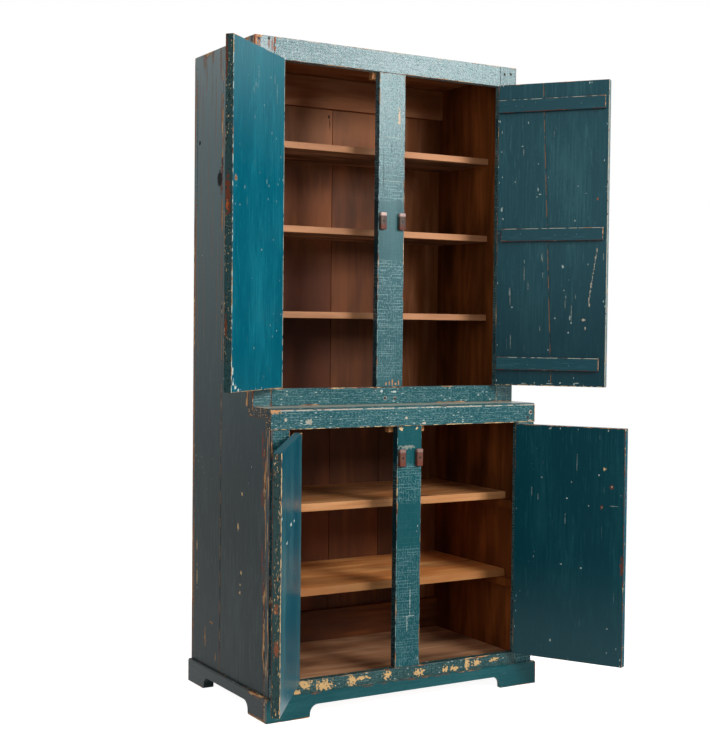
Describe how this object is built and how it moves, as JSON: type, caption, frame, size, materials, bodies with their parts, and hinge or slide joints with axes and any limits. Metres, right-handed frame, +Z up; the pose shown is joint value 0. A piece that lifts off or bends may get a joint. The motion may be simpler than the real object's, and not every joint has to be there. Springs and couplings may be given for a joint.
{
  "type": "step-back cupboard",
  "caption": "Painted pine step-back cupboard on a bracket plinth, deeper below its counter than above, with hinged inset doors, shelves and wooden turn buttons.",
  "frame": {"origin": "on the floor, at the middle of the box round the whole object with its doors open as in the picture", "axes": "+X along the front, left to right as one faces it; +Y from the front to the back; +Z up"},
  "size_m": [1.291, 0.8746, 1.973],
  "materials": {
    "teal_paint": "old slate-teal oil paint over pine, satin, crazed and worn at the edges",
    "bright_teal_paint": "brighter, less faded teal oil paint over pine, satin",
    "bare_pine": "unpainted pine, aged brown, dry",
    "button_wood": "bare reddish-brown hardwood, handled smooth",
    "old_iron": "old dark iron"
  },
  "bodies": {
    "case_body": {"left_side": "teal_paint", "right_side": "teal_paint", "roof_board": "teal_paint", "counter_board": "teal_paint", "floor_board": "bare_pine", "back_board_1": "bare_pine", "back_board_2": "bare_pine", "back_board_3": "bare_pine", "back_board_4": "bare_pine", "back_top_rail": "bare_pine", "back_bottom_rail": "bare_pine", "upper_left_stile": "teal_paint", "upper_right_stile": "teal_paint", "upper_centre_stile": "teal_paint", "upper_top_rail": "teal_paint", "upper_bottom_rail": "teal_paint", "lower_left_stile": "teal_paint", "lower_right_stile": "teal_paint", "lower_centre_stile": "teal_paint", "lower_bottom_rail": "teal_paint", "counter_rail": "teal_paint", "plinth_front": "teal_paint", "plinth_left": "teal_paint", "plinth_right": "teal_paint", "upper_shelf_1": "bare_pine", "upper_shelf_2": "bare_pine", "upper_shelf_3": "bare_pine", "lower_shelf_1": "bare_pine", "lower_shelf_2": "bare_pine", "upper_door_stop": "bare_pine", "lower_door_stop": "bare_pine", "upper_left_door_bottom_hinge_stile_leaf": "old_iron", "upper_left_door_top_hinge_stile_leaf": "old_iron", "upper_right_door_bottom_hinge_stile_leaf": "old_iron", "upper_right_door_top_hinge_stile_leaf": "old_iron", "lower_left_door_bottom_hinge_stile_leaf": "old_iron", "lower_left_door_top_hinge_stile_leaf": "old_iron", "lower_right_door_bottom_hinge_stile_leaf": "old_iron", "lower_right_door_top_hinge_stile_leaf": "old_iron"},
    "upper_left_door_body": {"upper_left_door": "bright_teal_paint", "upper_left_door_bottom_hinge_door_leaf": "old_iron", "upper_left_door_top_hinge_door_leaf": "old_iron"},
    "upper_right_door_body": {"upper_right_door_hinge_board": "teal_paint", "upper_right_door_free_board": "teal_paint", "upper_right_door_bottom_batten": "teal_paint", "upper_right_door_middle_batten": "teal_paint", "upper_right_door_top_batten": "teal_paint", "upper_right_door_bottom_hinge_door_leaf": "old_iron", "upper_right_door_top_hinge_door_leaf": "old_iron"},
    "lower_left_door_body": {"lower_left_door": "bright_teal_paint", "lower_left_door_bottom_hinge_door_leaf": "old_iron", "lower_left_door_top_hinge_door_leaf": "old_iron"},
    "lower_right_door_body": {"lower_right_door": "teal_paint", "lower_right_door_bottom_hinge_door_leaf": "old_iron", "lower_right_door_top_hinge_door_leaf": "old_iron"},
    "upper_left_button_body": {"upper_left_turn_button": "button_wood"},
    "upper_right_button_body": {"upper_right_turn_button": "button_wood"},
    "lower_left_button_body": {"lower_left_turn_button": "button_wood"},
    "lower_right_button_body": {"lower_right_turn_button": "button_wood"}
  },
  "joints": [
    {"name": "upper_left_door_swing", "type": "hinge", "parent": "case_body", "child": "upper_left_door_body", "pos_m": [-0.3779, 0.00702, 1.429], "axis": [0, 0, -1], "range_deg": [-140, 35]},
    {"name": "upper_right_door_swing", "type": "hinge", "parent": "case_body", "child": "upper_right_door_body", "pos_m": [0.4324, 0.00702, 1.429], "axis": [0, 0, 1], "range_deg": [-128, 47]},
    {"name": "lower_left_door_swing", "type": "hinge", "parent": "case_body", "child": "lower_left_door_body", "pos_m": [-0.3779, -0.11098, 0.469], "axis": [0, 0, -1], "range_deg": [-126.5, 48.5]},
    {"name": "lower_right_door_swing", "type": "hinge", "parent": "case_body", "child": "lower_right_door_body", "pos_m": [0.4324, -0.11098, 0.469], "axis": [0, 0, 1], "range_deg": [-120, 55]},
    {"name": "upper_left_button_turn", "type": "hinge", "parent": "case_body", "child": "upper_left_button_body", "pos_m": [-0.00675, 0.01252, 1.45703], "axis": [0, 1, 0], "continuous": true},
    {"name": "upper_right_button_turn", "type": "hinge", "parent": "case_body", "child": "upper_right_button_body", "pos_m": [0.06125, 0.01252, 1.45703], "axis": [0, 1, 0], "continuous": true},
    {"name": "lower_left_button_turn", "type": "hinge", "parent": "case_body", "child": "lower_left_button_body", "pos_m": [-0.00325, -0.10548, 0.74102], "axis": [0, 1, 0], "continuous": true},
    {"name": "lower_right_button_turn", "type": "hinge", "parent": "case_body", "child": "lower_right_button_body", "pos_m": [0.05775, -0.10548, 0.74102], "axis": [0, 1, 0], "continuous": true}
  ]
}
